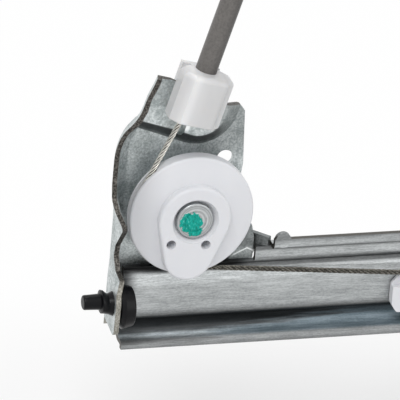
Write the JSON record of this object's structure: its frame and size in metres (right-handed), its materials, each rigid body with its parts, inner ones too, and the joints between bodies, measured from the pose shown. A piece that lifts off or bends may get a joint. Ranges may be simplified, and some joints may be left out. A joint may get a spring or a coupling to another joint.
{
  "type": "window regulator",
  "caption": "Cable-driven window regulator without motor: a pressed steel rail with end guides, a central cable drum and a sliding glass carrier.",
  "frame": {"origin": "on the near guide stud's axis, at the rear face of the near end bracket", "axes": "+X along the rail from the near end to the far end, +Z across the rail towards the cable drum, +Y along the guide studs to the door panel"},
  "size_m": [0.5258, 0.0318, 0.2043],
  "materials": {
    "zinc_sheet": "zinc plated, satin, lightly brushed along the rail",
    "stud_steel": "bright zinc",
    "cable_steel": "twisted galvanised wire",
    "white_plastic": "natural white moulding",
    "milky_plastic": "milky natural moulding",
    "conduit_plastic": "extruded, satin",
    "rubber": "moulded",
    "dark_plastic": "moulded, fine grain",
    "drum_plastic": "natural moulding"
  },
  "bodies": {
    "frame": {"guide_rail": "zinc_sheet", "bracket_near": "zinc_sheet", "bracket_far": "zinc_sheet", "cable_guide_near": "white_plastic", "cable_guide_far": "white_plastic", "guide_stud_near": "stud_steel", "guide_stud_far": "stud_steel", "conduit_fitting_near": "milky_plastic", "conduit_fitting_far": "milky_plastic", "conduit_near": "conduit_plastic", "conduit_far": "conduit_plastic", "cable_near": "cable_steel", "cable_far": "cable_steel", "bump_stop_near": "rubber", "bump_stop_far": "rubber", "drum_plate": "zinc_sheet", "drum_housing": "dark_plastic", "drum_cover": "dark_plastic", "conduit_sleeve_near": "dark_plastic", "conduit_sleeve_far": "dark_plastic", "cover_screw_1": "stud_steel", "cover_screw_2": "stud_steel", "cover_screw_3": "stud_steel"},
    "carrier": {"carrier_slider": "white_plastic", "carrier_plate": "zinc_sheet", "carrier_rivet_near": "stud_steel", "carrier_rivet_far": "stud_steel", "cable_nipple_near": "stud_steel", "cable_nipple_far": "stud_steel", "glass_pad_upper": "dark_plastic", "glass_pad_lower": "dark_plastic"},
    "drum": {"cable_drum": "drum_plastic", "drum_insert": "drum_plastic", "drum_wrap_near": "cable_steel", "drum_wrap_far": "cable_steel"}
  },
  "joints": [
    {"name": "carrier_slide", "type": "slide", "parent": "frame", "child": "carrier", "axis": [1, 0, 0], "range_m": [-0.074, 0.301], "deforming": ["cable_near", "cable_far"]},
    {"name": "drum_spin", "type": "hinge", "parent": "frame", "child": "drum", "pos_m": [0.2335, -0.008, 0.082], "axis": [0, -1, 0], "range_deg": [-172, 692]}
  ],
  "couplings": [
    {"joint": "drum_spin", "follows": "carrier_slide", "rad_per_m": 40}
  ]
}
